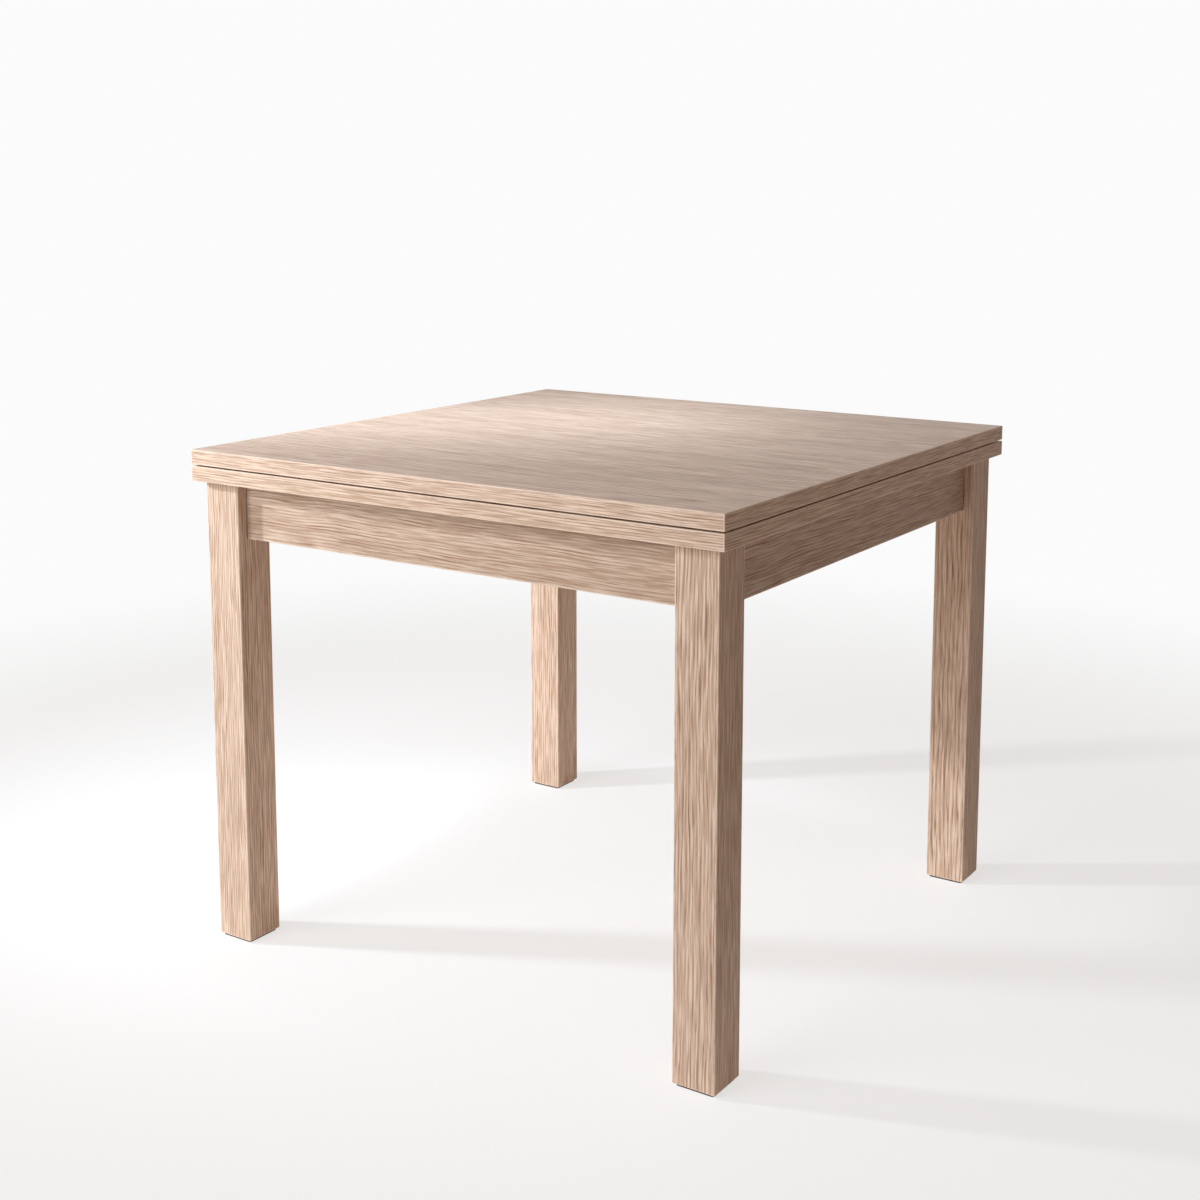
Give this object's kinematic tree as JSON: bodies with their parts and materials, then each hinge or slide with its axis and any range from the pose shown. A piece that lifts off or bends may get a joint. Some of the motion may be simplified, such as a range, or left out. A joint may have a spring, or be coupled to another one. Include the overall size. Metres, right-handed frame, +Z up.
{
  "type": "swivel extending table",
  "caption": "Square oak dining table with a folded book-style top that turns a quarter on an off-centre pivot and unfolds to double length, on straight square legs.",
  "frame": {"origin": "on the floor under the centre of the closed top", "axes": "+Z up, front apron faces -Y, hinge edge of the leaves faces -X"},
  "size_m": [0.9, 0.9, 0.75],
  "materials": {
    "oak_leg": "matt lacquered pale oak, grain upright",
    "oak_apron": "matt lacquered pale oak, grain along the rail",
    "oak_top": "matt lacquered pale oak veneer, grain along X",
    "oak_band": "matt lacquered oak edge band, grain along the edge",
    "plain_beech": "plain planed wood",
    "foot_felt": "dark brown pressed felt",
    "slide_felt": "brown pressed felt",
    "nylon": "natural nylon",
    "bumper_rubber": "soft matt bumper",
    "hinge_nickel": "satin nickel plated",
    "zinc_plate": "zinc plated sheet",
    "bright_fastener": "bright zinc"
  },
  "bodies": {
    "base": {"apron_dowels": "plain_beech", "apron_front": "oak_apron", "apron_left": "oak_apron", "apron_rear": "oak_apron", "apron_right": "oak_apron", "base_plate_screws": "bright_fastener", "bracket_screws": "bright_fastener", "corner_bracket_front_left": "zinc_plate", "corner_bracket_front_right": "zinc_plate", "corner_bracket_rear_left": "zinc_plate", "corner_bracket_rear_right": "zinc_plate", "foot_pad_front_left": "foot_felt", "foot_pad_front_right": "foot_felt", "foot_pad_rear_left": "foot_felt", "foot_pad_rear_right": "foot_felt", "hanger_bolts": "bright_fastener", "hanger_nuts": "bright_fastener", "leg_front_left": "oak_leg", "leg_front_right": "oak_leg", "leg_rear_left": "oak_leg", "leg_rear_right": "oak_leg", "pivot_base_plate": "zinc_plate", "pivot_bush": "nylon", "pivot_rail": "plain_beech", "rail_cleat_front": "plain_beech", "rail_cleat_rear": "plain_beech", "rail_screws": "bright_fastener", "slide_felts": "slide_felt"},
    "lower_leaf": {"hinge_body_lower_front": "hinge_nickel", "hinge_body_lower_middle": "hinge_nickel", "hinge_body_lower_rear": "hinge_nickel", "hinge_pins_lower": "bright_fastener", "hinge_screws_lower": "bright_fastener", "leaf_bumpers": "bumper_rubber", "lower_band_free_edge": "oak_band", "lower_band_front": "oak_band", "lower_band_hinge_edge": "oak_band", "lower_band_rear": "oak_band", "lower_panel": "oak_top", "pivot_lock_nut": "bright_fastener", "pivot_stud": "bright_fastener", "pivot_top_plate": "zinc_plate", "retaining_washer": "bright_fastener", "slip_washer": "nylon", "stop_pin": "bright_fastener", "top_plate_screws": "bright_fastener"},
    "hinge_links": {"hinge_link_front": "hinge_nickel", "hinge_link_middle": "hinge_nickel", "hinge_link_rear": "hinge_nickel"},
    "upper_leaf": {"hinge_body_upper_front": "hinge_nickel", "hinge_body_upper_middle": "hinge_nickel", "hinge_body_upper_rear": "hinge_nickel", "hinge_pins_upper": "bright_fastener", "hinge_screws_upper": "bright_fastener", "upper_band_free_edge": "oak_band", "upper_band_front": "oak_band", "upper_band_hinge_edge": "oak_band", "upper_band_rear": "oak_band", "upper_panel": "oak_top"}
  },
  "joints": [
    {"name": "swivel", "type": "hinge", "parent": "base", "child": "lower_leaf", "pos_m": [-0.225, 0.225, 0.7], "axis": [0, 0, 1], "range_deg": [0, 90]},
    {"name": "leaf_fold", "type": "hinge", "parent": "lower_leaf", "child": "upper_leaf", "pos_m": [-0.4505, 0, 0.72675], "axis": [0, -1, 0], "range_deg": [0, 180]},
    {"name": "link_fold", "type": "hinge", "parent": "lower_leaf", "child": "hinge_links", "pos_m": [-0.44575, 0, 0.722], "axis": [0, -1, 0], "range_deg": [0, 90]}
  ],
  "couplings": [
    {"joint": "link_fold", "follows": "leaf_fold", "ratio": 0.5}
  ]
}
